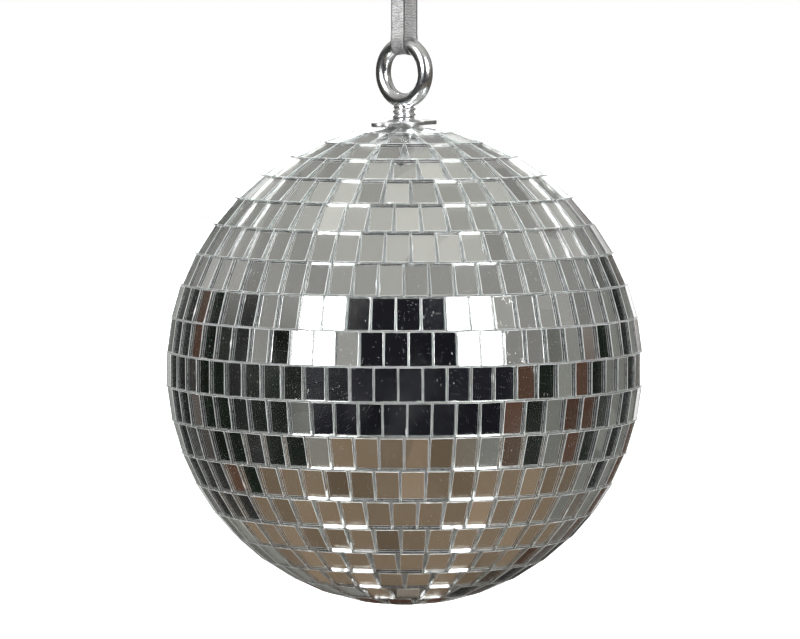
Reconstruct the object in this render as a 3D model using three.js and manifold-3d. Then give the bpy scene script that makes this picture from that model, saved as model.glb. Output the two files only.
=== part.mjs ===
// Mirror ball: a hollow ball, 200 mm across, faced with level rows of flat mirror tiles. A chromed eye bolt
// is clamped through its top, a loop of flat ribbon runs through the eye, and the loop hangs on a hook.
//
// Millimetres, +Z up. The origin is the centre of the hook's shoulder, where it meets the ceiling. The eye's
// ring and the hook's bend lie in the XZ plane, and the hanger strap lies along Y. Heights inside the ball's
// group are measured from the ball's centre.

import * as THREE from 'three';
import { mergeVertices } from 'three/addons/utils/BufferGeometryUtils.js';
import Module from 'manifold-3d';

const wasm = await Module();
wasm.setup();

// ---------- Driving dimensions ----------

const GAP = 0.3; // left between solids that touch

// Tiles
const BALL_RADIUS = 100; // to the corners of the tiles
const TILE_WIDTH = 9.3;
const TILE_HEIGHT = 13.6;
const TILE_THICKNESS = 2;

const TILE_JOINT = 0.2; // least space between two tiles of a row, where the row is tightest
const ROW_COUNT = 21;
const FEWEST_TILES = 12; // in the end rows, whose tiles are cut to wedges
const ROW_START_STEP = 17; // degrees that each row starts on from the row above

// Core shells
const CORE_RADIUS = 97;
const CORE_WALL = 3;
const BOSS_RADIUS = 16; // thick ring inside the top, round the bore
const BOSS_BOTTOM = 86;
const SPIGOT_RADIUS = 6.6; // stands up through the hole in the top row
const SPIGOT_TOP = 99.9;
const TONGUE_DEPTH = 5; // lap of the upper shell into the lower one
const TONGUE_OUTER = 95.5;

// Eye bolt
const RING_RADIUS = 11.7; // to the middle of the bar
const RING_BAR = 3.27; // radius of the bar
const RING_CENTRE = 122.3;
const THREAD_CREST = 4.9;
const THREAD_ROOT = 4.15;
const THREAD_PITCH = 2.3;
const THREAD_TURNS = 16;
const THREAD_TOP = 108.3;
const SHANK_TOP = 109.8; // inside the ring's bar
const SHANK_TOP_RADIUS = 2.6;
const SHANK_BORE = 5.25; // every hole that the shank passes through

// Strap, crossbar, washer and nut, from the outside in
const STRAP_BOTTOM = 100.2;
const STRAP_THICKNESS = 1.7;
const STRAP_LENGTH = 36;
const STRAP_EAR_WIDTH = 10;
const STRAP_HUB_RADIUS = 8.35;
const SAFETY_HOLE_RADIUS = 1.6;
const SAFETY_HOLE_FROM_CENTRE = 13.5;
const CROSSBAR_LENGTH = 30;
const CROSSBAR_WIDTH = 16;
const CROSSBAR_THICKNESS = 2;
const SPRING_WASHER_RADIUS = 8;
const SPRING_WASHER_THICKNESS = 1.8;
const SPRING_WASHER_SLIT = 0.12; // half angle, in radians
const NUT_ACROSS_FLATS = 17;
const NUT_THICKNESS = 8;

// Ribbon
const RIBBON_WIDTH = 6.8;
const RIBBON_THICKNESS = 0.8;
const RIBBON_BEND = 4.35; // radius of its middle where it turns round a bar
const RIBBON_DROP = 23.35; // from the middle of the hook's bar to the middle of the ring's bar
const STRAND_CLEARANCE = 0.8; // of the straight strands, from the hook and from the ring

// Ceiling hook
const HOOK_BAR = 2.9; // radius of the bar
const HOOK_BEND = 10; // radius of the bend, to the middle of the bar
const HOOK_DROP = 29.5; // from the ceiling to the middle of the bar under the bend
const HOOK_TIP_ANGLE = 25; // degrees, above the middle of the bend
const HOOK_SWEEP = 255; // degrees, from the tip to where the bar leaves the bend
const SHOULDER_RADIUS = 8;
const SHOULDER_THICKNESS = 2.6;
const SCREW_LENGTH = 17;
const SCREW_SHANK = 3.1; // radius of the plain stretch under the thread
const SCREW_SHANK_LENGTH = 3;
const SCREW_TURNS = 5;
const SCREW_CREST = 2.9;
const SCREW_ROOT = 2.2;

// ---------- Derived places ----------

const ROW_ANGLE = Math.PI / (ROW_COUNT + 1);
const FACE_DISTANCE = Math.sqrt(BALL_RADIUS ** 2 - (TILE_WIDTH / 2) ** 2 - (TILE_HEIGHT / 2) ** 2);
const HOOK_BAR_Z = -HOOK_DROP;
const RING_BAR_Z = HOOK_BAR_Z - RIBBON_DROP;
const BALL_CENTRE_Z = RING_BAR_Z - RING_RADIUS - RING_CENTRE;
const STRAND_TOP = HOOK_BAR_Z - HOOK_BAR - STRAND_CLEARANCE;
const STRAND_BOTTOM = RING_BAR_Z + RING_BAR + STRAND_CLEARANCE;

// ---------- Materials ----------

const mirror = () => new THREE.MeshStandardMaterial({ color: 0xb9bcbd, roughness: 0.04, metalness: 1 });
const chrome = () => new THREE.MeshStandardMaterial({ color: 0xc9cccf, roughness: 0.08, metalness: 1 });
const zincSteel = () => new THREE.MeshStandardMaterial({ color: 0xa9adb0, roughness: 0.35, metalness: 1 });
const mouldedPlastic = () => new THREE.MeshStandardMaterial({ color: 0xd6d6d2, roughness: 0.6, metalness: 0 });
const metallicRibbon = () => new THREE.MeshStandardMaterial({ color: 0xc2c3c2, roughness: 0.45, metalness: 0.6 });

// ---------- Geometry helpers ----------

// Turns a profile of [radius, height] points about Z. The profile closes on itself or ends on the axis.
function turned(profile, segments, startAngle = 0) {
  const points = profile.map(([radius, height]) => new THREE.Vector2(radius, height));
  const geometry = new THREE.LatheGeometry(points, segments, startAngle + Math.PI / 2, 2 * Math.PI);
  return geometry.rotateX(Math.PI / 2);
}

// Points on a circle about the ball's centre, from one latitude to another, in radians.
function arcProfile(radius, from, to, steps) {
  return Array.from({ length: steps + 1 }, (_, i) => {
    const latitude = from + ((to - from) * i) / steps;
    return [radius * Math.cos(latitude), radius * Math.sin(latitude)];
  });
}

// A flat outline with holes, lying level, from height bottom up by thickness.
function plate(outline, holes, bottom, thickness, curveSegments = 10) {
  outline.holes = holes;
  const geometry = new THREE.ExtrudeGeometry(outline, { depth: thickness, bevelEnabled: false, curveSegments });
  return geometry.translate(0, 0, bottom);
}

// A straight bar outline with half-round ends, along Y.
function oblong(length, width) {
  const end = width / 2;
  const straight = length / 2 - end;
  const outline = new THREE.Shape();
  outline.absarc(0, straight, end, 0, Math.PI, false);
  outline.absarc(0, -straight, end, Math.PI, 2 * Math.PI, false);
  return outline;
}

// A round hub with an ear each way along Y, half round at its end.
function earedPlate(length, earWidth, hubRadius) {
  const end = earWidth / 2;
  const straight = length / 2 - end;
  const earAngle = Math.acos(end / hubRadius);
  const outline = new THREE.Shape();
  outline.absarc(0, straight, end, 0, Math.PI, false);
  outline.absarc(0, 0, hubRadius, Math.PI - earAngle, Math.PI + earAngle, false);
  outline.absarc(0, -straight, end, Math.PI, 2 * Math.PI, false);
  outline.absarc(0, 0, hubRadius, -earAngle, earAngle, false);
  return outline;
}

function roundHole(x, y, radius) {
  return new THREE.Path().absarc(x, y, radius, 0, 2 * Math.PI, true);
}

function toSolid(geometry) {
  const bare = geometry.clone();
  bare.deleteAttribute('normal');
  bare.deleteAttribute('uv');
  const merged = mergeVertices(bare, 1e-4);
  const corners = [];
  for (let i = 0; i < merged.index.count; i += 3) {
    const [a, b, c] = merged.index.array.slice(i, i + 3);
    if (a !== b && b !== c && c !== a) corners.push(a, b, c);
  }
  const vertProperties = new Float32Array(merged.attributes.position.array);
  return new wasm.Manifold(new wasm.Mesh({ numProp: 3, vertProperties, triVerts: new Uint32Array(corners) }));
}

function joined(...geometries) {
  const mesh = geometries.map(toSolid).reduce((whole, piece) => whole.add(piece)).getMesh();
  const geometry = new THREE.BufferGeometry();
  geometry.setAttribute('position', new THREE.BufferAttribute(mesh.vertProperties, 3));
  geometry.setIndex(new THREE.BufferAttribute(mesh.triVerts, 1));
  return geometry;
}

function part(name, geometry, material) {
  const mesh = new THREE.Mesh(geometry, material);
  mesh.name = name;
  return mesh;
}

// ---------- Ball: tiles ----------

// As many whole tiles as fit round a row, counted at the backs of the tiles on the side of the pole.
function tilesInRow(latitude) {
  const back = FACE_DISTANCE - TILE_THICKNESS;
  const tightest = back * Math.cos(latitude) - (TILE_HEIGHT / 2) * Math.abs(Math.sin(latitude));
  return Math.max(FEWEST_TILES, Math.floor((2 * Math.PI * tightest) / (TILE_WIDTH + TILE_JOINT)));
}

// A ring with one flat facet for each tile. Its edge on the side of the pole is drawn round the tiles' circle,
// and its edge on the side of the equator inside that circle, so that rows with different counts stay clear.
function mirrorRow(index) {
  const middle = Math.PI / 2 - (index + 1) * ROW_ANGLE;
  const tiles = tilesInRow(middle);
  const start = THREE.MathUtils.degToRad(index * ROW_START_STEP);
  const outward = [Math.cos(middle), Math.sin(middle)];
  const north = [-Math.sin(middle), Math.cos(middle)];
  const roundPolygon = 1 / Math.cos(Math.PI / tiles);
  const corner = (distance, along) => {
    const onPoleSide = along * middle >= 0;
    const radius = distance * outward[0] + along * north[0];
    return [radius * (onPoleSide ? roundPolygon : 1), distance * outward[1] + along * north[1]];
  };
  const back = FACE_DISTANCE - TILE_THICKNESS;
  const half = TILE_HEIGHT / 2;
  const profile = [
    corner(FACE_DISTANCE, -half),
    corner(FACE_DISTANCE, half),
    corner(back, half),
    corner(back, -half),
    corner(FACE_DISTANCE, -half),
  ];
  const name = `mirror_row_${String(index + 1).padStart(2, '0')}`;
  return part(name, turned(profile, tiles, start), mirror());
}

// Round mirror that closes the hole in the bottom row.
function bottomMirror() {
  const disc = new THREE.CylinderGeometry(SPIGOT_RADIUS, SPIGOT_RADIUS, TILE_THICKNESS, 24);
  disc.rotateX(Math.PI / 2);
  disc.translate(0, 0, -SPIGOT_TOP + TILE_THICKNESS / 2);
  return part('bottom_polar_mirror', disc, mirror());
}

// ---------- Ball: core ----------

const CORE_SEGMENTS = 30;
const CORE_ARC_STEPS = 7;

// Upper shell, with the boss and bore for the eye bolt, and a tongue below its rim.
function coreUpperHalf() {
  const inner = CORE_RADIUS - CORE_WALL;
  const rim = GAP / 2;
  const spigotLatitude = Math.acos(SPIGOT_RADIUS / CORE_RADIUS);
  const profile = [
    [inner, -TONGUE_DEPTH],
    [TONGUE_OUTER, -TONGUE_DEPTH],
    [TONGUE_OUTER, rim],
    ...arcProfile(CORE_RADIUS, Math.asin(rim / CORE_RADIUS), spigotLatitude, CORE_ARC_STEPS),
    [SPIGOT_RADIUS, SPIGOT_TOP],
    [SHANK_BORE, SPIGOT_TOP],
    [SHANK_BORE, BOSS_BOTTOM],
    [BOSS_RADIUS, BOSS_BOTTOM],
    ...arcProfile(inner, Math.acos(BOSS_RADIUS / inner), 0, CORE_ARC_STEPS),
    [inner, -TONGUE_DEPTH],
  ];
  return part('core_upper_half', turned(profile, CORE_SEGMENTS), mouldedPlastic());
}

// Lower shell, rebated inside its rim to take the tongue.
function coreLowerHalf() {
  const inner = CORE_RADIUS - CORE_WALL;
  const rim = -GAP / 2;
  const rebateDepth = -TONGUE_DEPTH - GAP;
  const profile = [
    ...arcProfile(CORE_RADIUS, -Math.PI / 2, Math.asin(rim / CORE_RADIUS), CORE_ARC_STEPS),
    [TONGUE_OUTER + GAP, rim],
    [TONGUE_OUTER + GAP, rebateDepth],
    ...arcProfile(inner, Math.asin(rebateDepth / inner), -Math.PI / 2, CORE_ARC_STEPS),
  ];
  return part('core_lower_half', turned(profile, CORE_SEGMENTS), mouldedPlastic());
}

// ---------- Ball: hanging fittings ----------

// Ring and threaded shank in one. The thread is drawn as level ridges at the real pitch.
function eyeBolt() {
  const ring = new THREE.TorusGeometry(RING_RADIUS, RING_BAR, 12, 32);
  ring.rotateX(Math.PI / 2);
  ring.translate(0, 0, RING_CENTRE);
  const ridges = Array.from({ length: THREAD_TURNS }, (_, turn) => {
    const top = THREAD_TOP - turn * THREAD_PITCH;
    return [
      [THREAD_ROOT, top],
      [THREAD_CREST, top - 0.35 * THREAD_PITCH],
      [THREAD_CREST, top - 0.65 * THREAD_PITCH],
    ];
  }).flat();
  const tip = THREAD_TOP - THREAD_TURNS * THREAD_PITCH;
  const profile = [
    [0, tip],
    [THREAD_ROOT, tip],
    ...ridges.reverse(),
    [SHANK_TOP_RADIUS, SHANK_TOP],
    [0, SHANK_TOP],
  ];
  return part('eye_bolt', joined(ring, turned(profile, 12)), chrome());
}

function hangerStrap() {
  const holes = [
    roundHole(0, 0, SHANK_BORE),
    roundHole(0, SAFETY_HOLE_FROM_CENTRE, SAFETY_HOLE_RADIUS),
    roundHole(0, -SAFETY_HOLE_FROM_CENTRE, SAFETY_HOLE_RADIUS),
  ];
  const outline = earedPlate(STRAP_LENGTH, STRAP_EAR_WIDTH, STRAP_HUB_RADIUS);
  return part('hanger_strap', plate(outline, holes, STRAP_BOTTOM, STRAP_THICKNESS), chrome());
}

const CROSSBAR_BOTTOM = BOSS_BOTTOM - GAP - CROSSBAR_THICKNESS;
const SPRING_WASHER_BOTTOM = CROSSBAR_BOTTOM - GAP - SPRING_WASHER_THICKNESS;
const NUT_BOTTOM = SPRING_WASHER_BOTTOM - GAP - NUT_THICKNESS;

function innerCrossbar() {
  const outline = oblong(CROSSBAR_LENGTH, CROSSBAR_WIDTH);
  const geometry = plate(outline, [roundHole(0, 0, SHANK_BORE)], CROSSBAR_BOTTOM, CROSSBAR_THICKNESS);
  return part('inner_crossbar', geometry, zincSteel());
}

function springWasher() {
  const outline = new THREE.Shape();
  outline.absarc(0, 0, SPRING_WASHER_RADIUS, SPRING_WASHER_SLIT, 2 * Math.PI - SPRING_WASHER_SLIT, false);
  outline.absarc(0, 0, SHANK_BORE, 2 * Math.PI - SPRING_WASHER_SLIT, SPRING_WASHER_SLIT, true);
  const washer = plate(outline, [], SPRING_WASHER_BOTTOM, SPRING_WASHER_THICKNESS);
  return part('spring_washer', washer, zincSteel());
}

function lockNut() {
  const cornerRadius = NUT_ACROSS_FLATS / 2 / Math.cos(Math.PI / 6);
  const corners = Array.from({ length: 6 }, (_, i) => {
    const angle = (i * Math.PI) / 3;
    return new THREE.Vector2(cornerRadius * Math.cos(angle), cornerRadius * Math.sin(angle));
  });
  const outline = new THREE.Shape(corners);
  const nut = plate(outline, [roundHole(0, 0, SHANK_BORE)], NUT_BOTTOM, NUT_THICKNESS);
  return part('lock_nut', nut, zincSteel());
}

// ---------- Ribbon ----------

// A band bent half round a bar along X, with straight legs that end at height legEnd. side is 1 where the band goes
// over the bar and -1 where it goes under it.
function ribbonBight(name, barHeight, legEnd, side) {
  const outer = RIBBON_BEND + RIBBON_THICKNESS / 2;
  const inner = RIBBON_BEND - RIBBON_THICKNESS / 2;
  const overTop = side > 0;
  const endAngle = overTop ? 0 : 2 * Math.PI;
  const outline = new THREE.Shape();
  outline.moveTo(-outer, legEnd);
  outline.lineTo(-outer, barHeight);
  outline.absarc(0, barHeight, outer, Math.PI, endAngle, overTop);
  outline.lineTo(outer, legEnd);
  outline.lineTo(inner, legEnd);
  outline.lineTo(inner, barHeight);
  outline.absarc(0, barHeight, inner, endAngle, Math.PI, !overTop);
  outline.lineTo(-inner, legEnd);
  const band = new THREE.ExtrudeGeometry(outline, { depth: RIBBON_WIDTH, bevelEnabled: false, curveSegments: 10 });
  band.translate(0, 0, -RIBBON_WIDTH / 2);
  const fromOutline = new THREE.Matrix4().makeBasis(
    new THREE.Vector3(0, 1, 0),
    new THREE.Vector3(0, 0, 1),
    new THREE.Vector3(1, 0, 0),
  );
  return part(name, band.applyMatrix4(fromOutline), metallicRibbon());
}

function ribbonStrand(name, side) {
  const strand = part(
    name,
    new THREE.BoxGeometry(RIBBON_WIDTH, RIBBON_THICKNESS, STRAND_TOP - STRAND_BOTTOM),
    metallicRibbon(),
  );
  strand.position.set(0, side * RIBBON_BEND, (STRAND_TOP + STRAND_BOTTOM) / 2);
  return strand;
}

// ---------- Ceiling hook ----------

// The bar runs from its tip on the +X side, round the bend, and back over to the axis under the shoulder.
function hookPath() {
  const centreHeight = HOOK_BAR_Z + HOOK_BEND;
  const tipAngle = THREE.MathUtils.degToRad(HOOK_TIP_ANGLE);
  const sweep = THREE.MathUtils.degToRad(-HOOK_SWEEP);
  const steps = 12;
  const points = Array.from({ length: steps + 1 }, (_, i) => {
    const angle = tipAngle + (sweep * i) / steps;
    return new THREE.Vector3(HOOK_BEND * Math.cos(angle), 0, centreHeight + HOOK_BEND * Math.sin(angle));
  });
  points.push(new THREE.Vector3(-1.3, 0, -8.4));
  points.push(new THREE.Vector3(0, 0, -5));
  points.push(new THREE.Vector3(0, 0, -SHOULDER_THICKNESS / 2));
  return new THREE.CatmullRomCurve3(points);
}

function ceilingHook() {
  const path = hookPath();
  const section = new THREE.Shape().absarc(0, 0, HOOK_BAR, 0, 2 * Math.PI, false);
  const bar = new THREE.ExtrudeGeometry(section, { steps: 28, extrudePath: path, curveSegments: 6 });
  const tip = new THREE.SphereGeometry(HOOK_BAR, 10, 6).translate(...path.getPoint(0).toArray());
  const turn = (SCREW_LENGTH - SCREW_SHANK_LENGTH) / (SCREW_TURNS + 1);
  const ridges = Array.from({ length: SCREW_TURNS }, (_, i) => [
    [SCREW_ROOT, SCREW_SHANK_LENGTH + (i + 0.4) * turn],
    [SCREW_CREST, SCREW_SHANK_LENGTH + (i + 0.9) * turn],
  ]).flat();
  const bevel = SHOULDER_THICKNESS / 3;
  const shoulderAndScrew = turned(
    [
      [0, -SHOULDER_THICKNESS],
      [SHOULDER_RADIUS - bevel, -SHOULDER_THICKNESS],
      [SHOULDER_RADIUS, -SHOULDER_THICKNESS + bevel],
      [SHOULDER_RADIUS, 0],
      [SCREW_SHANK, 0],
      [SCREW_SHANK, SCREW_SHANK_LENGTH],
      ...ridges,
      [0, SCREW_LENGTH],
    ],
    16,
  );
  return part('ceiling_hook', joined(bar, tip, shoulderAndScrew), zincSteel());
}

// ---------- Assembly ----------

const ball = new THREE.Group();
ball.position.z = BALL_CENTRE_Z;
for (let index = 0; index < ROW_COUNT; index += 1) {
  ball.add(mirrorRow(index));
}
ball.add(bottomMirror(), coreUpperHalf(), coreLowerHalf());
ball.add(eyeBolt(), hangerStrap());
ball.add(innerCrossbar(), springWasher(), lockNut());

const ribbon = new THREE.Group();
ribbon.add(ribbonBight('ribbon_top_bight', HOOK_BAR_Z, STRAND_TOP + GAP, 1));
ribbon.add(ribbonStrand('ribbon_front_strand', -1), ribbonStrand('ribbon_back_strand', 1));
ribbon.add(ribbonBight('ribbon_bottom_bight', RING_BAR_Z, STRAND_BOTTOM - GAP, -1));

const mirrorBall = new THREE.Group();
mirrorBall.add(ceilingHook(), ribbon, ball);

export default mirrorBall;
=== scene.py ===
"""Mirror ball on a ribbon loop: the looks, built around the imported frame.

Every length is in metres, in the frame of the CAD part: +Z up, origin at the ceiling hook's shoulder.
"""

import math
import random

import bmesh
import bpy
from mathutils import Matrix, Vector, noise


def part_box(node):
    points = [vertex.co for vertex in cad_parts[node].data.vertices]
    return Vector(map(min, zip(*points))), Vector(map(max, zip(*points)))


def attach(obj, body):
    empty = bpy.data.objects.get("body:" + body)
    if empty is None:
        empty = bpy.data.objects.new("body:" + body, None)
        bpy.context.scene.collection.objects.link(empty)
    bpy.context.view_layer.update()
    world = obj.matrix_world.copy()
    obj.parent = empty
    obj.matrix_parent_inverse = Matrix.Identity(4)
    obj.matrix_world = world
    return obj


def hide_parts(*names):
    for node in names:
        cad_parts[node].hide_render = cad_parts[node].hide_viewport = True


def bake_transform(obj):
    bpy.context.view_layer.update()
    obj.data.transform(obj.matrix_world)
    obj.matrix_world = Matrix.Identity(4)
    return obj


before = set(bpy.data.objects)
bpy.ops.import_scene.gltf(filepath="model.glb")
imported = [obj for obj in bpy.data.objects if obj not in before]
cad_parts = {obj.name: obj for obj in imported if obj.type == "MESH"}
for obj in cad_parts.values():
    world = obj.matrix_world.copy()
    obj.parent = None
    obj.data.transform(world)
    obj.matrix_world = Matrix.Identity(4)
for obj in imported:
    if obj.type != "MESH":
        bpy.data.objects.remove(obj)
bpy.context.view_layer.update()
scene = bpy.context.scene
MM = 0.001


# ---------- Places, worked out from the frame ----------

def box_middle(node):
    low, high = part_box(node)
    return (low + high) / 2


def farthest_from_axis(node):
    return max(math.hypot(v.co.x, v.co.y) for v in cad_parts[node].data.vertices)


ROW_NODES = sorted(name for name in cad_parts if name.startswith("mirror_row_"))
ROW_ANGLE = math.pi / (len(ROW_NODES) + 1)
EQUATOR_ROW = ROW_NODES[len(ROW_NODES) // 2]


def joint_azimuths(node):
    """Azimuths of the corners of a row's CAD ring: one for each joint between two tiles."""
    turns = sorted(math.atan2(v.co.y, v.co.x) % math.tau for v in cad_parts[node].data.vertices)
    return [turns[0]] + [b for a, b in zip(turns, turns[1:]) if b - a > 0.01]


BALL_CENTRE = Vector((0, 0, box_middle(EQUATOR_ROW).z))
FACE_DISTANCE = farthest_from_axis(EQUATOR_ROW) * math.cos(math.pi / len(joint_azimuths(EQUATOR_ROW)))

RING_LOW, RING_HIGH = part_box("eye_bolt")
RING_OUTER = RING_HIGH.x
RING_CENTRE_Z = RING_HIGH.z - RING_OUTER
RING_BAR = max(v.co.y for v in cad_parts["eye_bolt"].data.vertices if v.co.z > RING_CENTRE_Z)
RING_RADIUS = RING_OUTER - RING_BAR
RING_BAR_Z = RING_CENTRE_Z + RING_RADIUS

STRAND_LOW, STRAND_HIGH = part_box("ribbon_front_strand")
RIBBON_WIDTH = STRAND_HIGH.x * 2
RIBBON_BEND = -(STRAND_LOW.y + STRAND_HIGH.y) / 2
RIBBON_THICKNESS = 0.74 * MM
HOOK_BAR_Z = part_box("ribbon_top_bight")[1].z - RIBBON_BEND - (STRAND_HIGH.y - STRAND_LOW.y) / 2


# ---------- Camera ----------

CAMERA_AZIMUTH = math.radians(42)
CAMERA_ELEVATION = math.radians(4.5)
CAMERA_DISTANCE = 1.87
LENS_MM = 201.5
AIM_ABOVE_CENTRE = 19.25 * MM
AIM_LEFT_OF_CENTRE = 1.75 * MM

TO_CAMERA = Vector((math.sin(CAMERA_AZIMUTH), -math.cos(CAMERA_AZIMUTH), 0))
CAMERA_RIGHT = Vector((math.cos(CAMERA_AZIMUTH), math.sin(CAMERA_AZIMUTH), 0))


def make_camera():
    data = bpy.data.cameras.new("camera")
    data.lens = LENS_MM
    data.sensor_width = 36
    camera = bpy.data.objects.new("camera", data)
    scene.collection.objects.link(camera)
    level = TO_CAMERA * math.cos(CAMERA_ELEVATION)
    camera.location = BALL_CENTRE + CAMERA_DISTANCE * (level + Vector((0, 0, math.sin(CAMERA_ELEVATION))))
    aim = BALL_CENTRE + Vector((0, 0, AIM_ABOVE_CENTRE)) - CAMERA_RIGHT * AIM_LEFT_OF_CENTRE
    camera.rotation_euler = (aim - camera.location).to_track_quat("-Z", "Y").to_euler()
    scene.camera = camera


# ---------- Node helpers ----------

def linear(*levels):
    """An sRGB colour, red, green and blue of 0 to 255, as linear light."""
    shares = [level / 255 for level in levels]
    return tuple(s / 12.92 if s <= 0.04045 else ((s + 0.055) / 1.055) ** 2.4 for s in shares)


class Nodes:
    """Short calls for adding nodes to a material's or the world's tree."""

    def __init__(self, tree):
        self.tree = tree

    def add(self, kind, inputs=(), **settings):
        node = self.tree.nodes.new(kind)
        for name, value in settings.items():
            setattr(node, name, value)
        for key, value in dict(inputs).items():
            self.feed(node.inputs[key], value)
        return node

    def feed(self, socket, value):
        if isinstance(value, bpy.types.NodeSocket):
            self.tree.links.new(value, socket)
        elif hasattr(socket.default_value, "__len__") and len(socket.default_value) == 4 and len(value) == 3:
            socket.default_value = (*value, 1)
        else:
            socket.default_value = value

    def maths(self, operation, *values, clamp=False):
        return self.add("ShaderNodeMath", enumerate(values), operation=operation, use_clamp=clamp).outputs[0]

    def vector(self, operation, *values):
        return self.add("ShaderNodeVectorMath", enumerate(values), operation=operation)

    def dot(self, a, b):
        return self.vector("DOT_PRODUCT", a, b).outputs["Value"]

    def remap(self, value, low, high, to_low=0.0, to_high=1.0, smooth=False):
        kind = "SMOOTHSTEP" if smooth else "LINEAR"
        inputs = {"Value": value, "From Min": low, "From Max": high, "To Min": to_low, "To Max": to_high}
        return self.add("ShaderNodeMapRange", inputs, interpolation_type=kind).outputs["Result"]

    def mix(self, factor, a, b, blend="MIX"):
        node = self.add("ShaderNodeMix", data_type="RGBA", blend_type=blend)
        for socket, value in ((node.inputs[0], factor), (node.inputs[6], a), (node.inputs[7], b)):
            self.feed(socket, value)
        return node.outputs[2]

    def noise(self, vector, scale, detail=2.0, roughness=0.5, distortion=0.0):
        inputs = {"Vector": vector, "Scale": scale, "Detail": detail, "Roughness": roughness,
                  "Distortion": distortion}
        return self.add("ShaderNodeTexNoise", inputs).outputs["Fac"]

    def cells(self, vector, scale):
        """A random colour for each of many small cells."""
        return self.add("ShaderNodeTexVoronoi", {"Vector": vector, "Scale": scale}).outputs["Color"]

    def average(self, colour):
        return self.dot(colour, (0.33, 0.33, 0.33))

    def stretched(self, vector, scale, turn=(0, 0, 0)):
        return self.add("ShaderNodeMapping", {"Vector": vector, "Scale": scale, "Rotation": turn}).outputs[0]

    def bump(self, height, strength, distance):
        inputs = {"Height": height, "Strength": strength, "Distance": distance}
        return self.add("ShaderNodeBump", inputs).outputs[0]


# ---------- The studio that the mirrors show ----------

# sRGB colours.
CEILING = (185, 183, 178)
WALL = (150, 148, 145)
WOOD_FLOOR = (125, 108, 90)
BLACK_CLOTH = (30, 30, 35)
FURNITURE = [(25, 30, 25), (40, 40, 40), (80, 60, 50), (120, 120, 115)]

# In degrees: middle azimuth, half width, middle elevation, half height, softness of the edge. Azimuth 0 is
# towards the main camera, and azimuths grow to its right.
CEILING_AND_FLOOR = [
    (0, 180, 75, 25, 15, CEILING),
    (0, 180, -70, 40, 5, WOOD_FLOOR),
]
CAMERA_STAND = [
    (0, 25, 10, 25, 1.5, BLACK_CLOTH),
    (0, 50, -14, 15, 1.5, BLACK_CLOTH),
]
FURNITURE_FROM, FURNITURE_TO = 35, 325
FURNITURE_HALF_WIDTHS = (4, 9)
FURNITURE_TOPS = (5, 25)
FURNITURE_BOTTOMS = (-45, -30)
FURNITURE_SEED = 22

# Lights, in degrees as above, then strength: a soft box on each side of the camera, and a lit backdrop.
LIGHTS = [(side * 40, 12, 20, 15, 0.5, 14.0) for side in (-1, 1)]
LIGHTS.append((180, 20, 5, 15, 4, 2.5))


def furniture():
    """Things of many widths and heights that stand round the walls, side by side, behind the soft boxes."""
    chance = random.Random(FURNITURE_SEED)
    things = []
    azimuth = FURNITURE_FROM
    while azimuth < FURNITURE_TO:
        half_width = chance.uniform(*FURNITURE_HALF_WIDTHS)
        top = chance.uniform(*FURNITURE_TOPS)
        bottom = chance.uniform(*FURNITURE_BOTTOMS)
        shade = chance.choice(FURNITURE)
        things.append((azimuth + half_width, half_width, (top + bottom) / 2, (top - bottom) / 2, 1.5, shade))
        azimuth += 2 * half_width
    return things


def room_mask(nodes, azimuth, elevation, middle, half_width, height, half_height, softness):
    """1 inside an upright patch of directions, and 0 outside it."""
    turn = nodes.maths("WRAP", nodes.maths("SUBTRACT", azimuth, middle), -180, 180)
    off_azimuth = nodes.maths("ABSOLUTE", turn)
    off_elevation = nodes.maths("ABSOLUTE", nodes.maths("SUBTRACT", elevation, height))
    across = nodes.remap(off_azimuth, half_width - softness, half_width + softness, 1, 0, smooth=True)
    along = nodes.remap(off_elevation, half_height - softness, half_height + softness, 1, 0, smooth=True)
    return nodes.maths("MULTIPLY", across, along)


def make_room():
    """World light: a plain soft studio of fixed directions, which the camera itself sees as plain white."""
    world = bpy.data.worlds.new("studio")
    scene.world = world
    world.use_nodes = True
    world.node_tree.nodes.clear()
    nodes = Nodes(world.node_tree)
    direction = nodes.vector("NORMALIZE", nodes.add("ShaderNodeTexCoord").outputs["Generated"]).outputs[0]
    across = nodes.dot(direction, tuple(CAMERA_RIGHT))
    towards = nodes.dot(direction, tuple(TO_CAMERA))
    height = nodes.dot(direction, (0, 0, 1))
    azimuth = nodes.maths("DEGREES", nodes.maths("ARCTAN2", across, towards))
    elevation = nodes.maths("DEGREES", nodes.maths("ARCSINE", height))

    colour = linear(*WALL)
    for *place, shade in CEILING_AND_FLOOR + furniture() + CAMERA_STAND:
        colour = nodes.mix(room_mask(nodes, azimuth, elevation, *place), colour, linear(*shade))
    patches = nodes.remap(nodes.noise(direction, 2.6, 3), 0.3, 0.7, 0.8, 1.2)
    panels = nodes.remap(nodes.average(nodes.cells(direction, 8)), 0.2, 0.8, 0.7, 1.3)
    colour = nodes.mix(1.0, colour, nodes.maths("MULTIPLY", patches, panels), blend="MULTIPLY")
    for *place, strength in LIGHTS:
        colour = nodes.mix(room_mask(nodes, azimuth, elevation, *place), colour, (strength,) * 3)

    seen = nodes.add("ShaderNodeLightPath").outputs["Is Camera Ray"]
    shown = nodes.mix(seen, colour, (1.0, 1.0, 1.0))
    background = nodes.add("ShaderNodeBackground", {"Color": shown})
    nodes.feed(nodes.add("ShaderNodeOutputWorld").inputs["Surface"], background.outputs[0])


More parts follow.
